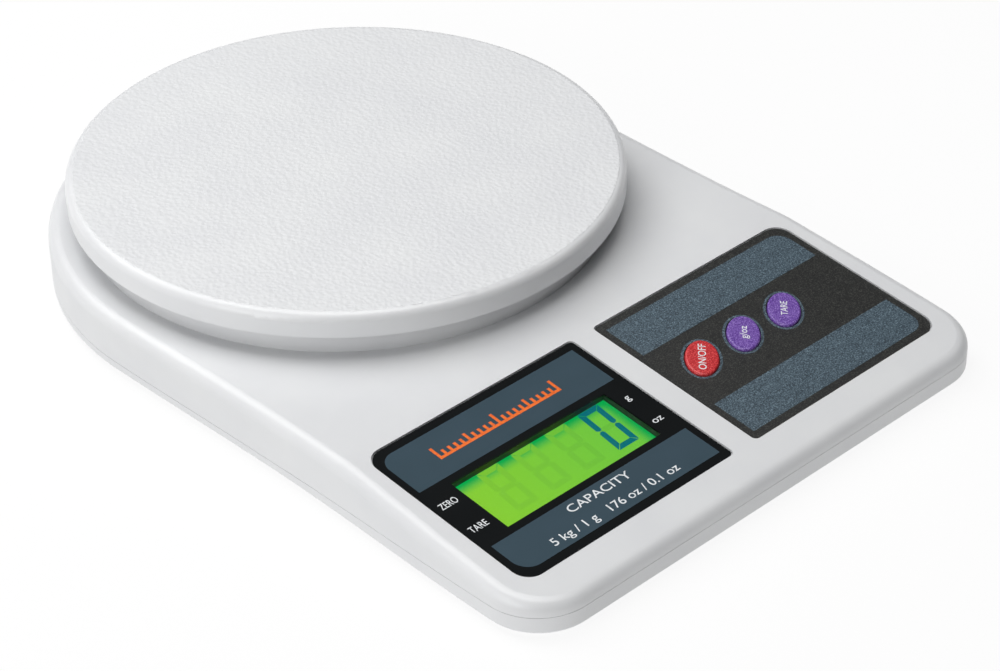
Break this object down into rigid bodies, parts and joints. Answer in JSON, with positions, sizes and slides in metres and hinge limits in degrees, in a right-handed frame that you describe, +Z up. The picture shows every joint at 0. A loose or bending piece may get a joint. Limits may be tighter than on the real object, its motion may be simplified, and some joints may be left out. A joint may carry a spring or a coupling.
{
  "type": "kitchen scale",
  "caption": "Flat battery kitchen scale with a round white platter, a backlit number display and a grained keypad with oval buttons.",
  "frame": {"origin": "middle of the footprint, on the surface that the feet stand on", "axes": "+X to the right along the front edge, +Y back towards the platter, +Z up"},
  "size_m": [0.17, 0.246, 0.0317],
  "materials": {
    "white_abs": "satin moulded",
    "white_grained_abs": "fine leather grain top, satin rim",
    "grey_rubber": "matte",
    "zinc_screw": "zinc plated",
    "bar_aluminium": "milled",
    "silicone_patch": "matte",
    "cell_sleeve": "shrink sleeve",
    "nickel_contact": "nickel plated",
    "wire_sheath": "PVC",
    "cable_sheath": "PVC",
    "white_nylon": "moulded",
    "gloss_black_film": "gloss printed film",
    "clear_window": "clear polished",
    "dark_grey_plastic": "moulded",
    "green_lcd": "backlit",
    "light_guide": "polished acrylic",
    "zebra_rubber": "layered silicone",
    "board_laminate": "solder mask",
    "epoxy_blob": "potted",
    "grained_film": "fine grained printed film",
    "switch_body": "moulded",
    "red_cap": "grained",
    "purple_cap": "grained",
    "plunger_plastic": "moulded",
    "white_ink": "screen printed",
    "orange_ink": "screen printed",
    "slate_ink": "screen printed",
    "display_segment": "switched liquid crystal"
  },
  "bodies": {
    "housing": {"top_cover": "white_abs", "bottom_cover": "white_abs", "rubber_feet": "grey_rubber", "housing_screws": "zinc_screw", "load_cell": "bar_aluminium", "load_cell_shim": "zinc_screw", "load_cell_screws": "zinc_screw", "strain_gauges": "silicone_patch", "battery_cells": "cell_sleeve", "battery_springs": "nickel_contact", "battery_contacts": "nickel_contact", "battery_wires": "wire_sheath", "load_cell_cable": "cable_sheath", "board_plugs": "white_nylon", "display_label": "gloss_black_film", "display_window": "clear_window", "lcd_frame": "dark_grey_plastic", "lcd_glass": "green_lcd", "backlight_guide": "light_guide", "contact_strip": "zebra_rubber", "main_board": "board_laminate", "controller_chip": "epoxy_blob", "board_screws": "zinc_screw", "board_ribbon": "cable_sheath", "keypad_label": "grained_film", "key_board": "board_laminate", "key_switches": "switch_body"},
    "carrier": {"platter_carrier": "white_abs", "carrier_screws": "zinc_screw"},
    "platter": {"platter": "white_grained_abs"},
    "battery_door": {"battery_door": "white_abs"},
    "power_button": {"power_button": "red_cap", "power_plunger": "plunger_plastic"},
    "unit_button": {"unit_button": "purple_cap", "unit_plunger": "plunger_plastic"},
    "tare_button": {"tare_button": "purple_cap", "tare_plunger": "plunger_plastic"}
  },
  "joints": [
    {"name": "weigh_travel", "type": "slide", "parent": "housing", "child": "carrier", "axis": [0, 0, -1], "range_m": [0, 0.0005], "stiffness_N_per_m": 98000, "deforming": ["load_cell"]},
    {"name": "platter_lift_off", "type": "slide", "parent": "carrier", "child": "platter", "axis": [0, 0, 1], "range_m": [0, 0.04]},
    {"name": "battery_door_hinge", "type": "hinge", "parent": "housing", "child": "battery_door", "pos_m": [0, 0.02689, 0.00225], "axis": [1, 0, 0], "range_deg": [0, 75]},
    {"name": "power_press", "type": "slide", "parent": "housing", "child": "power_button", "axis": [0, 0.1045, -0.9945], "range_m": [0, 0.0004], "stiffness_N_per_m": 400, "springref_m": -0.002},
    {"name": "unit_press", "type": "slide", "parent": "housing", "child": "unit_button", "axis": [0, 0.1045, -0.9945], "range_m": [0, 0.0004], "stiffness_N_per_m": 400, "springref_m": -0.002},
    {"name": "tare_press", "type": "slide", "parent": "housing", "child": "tare_button", "axis": [0, 0.1045, -0.9945], "range_m": [0, 0.0004], "stiffness_N_per_m": 400, "springref_m": -0.002}
  ]
}
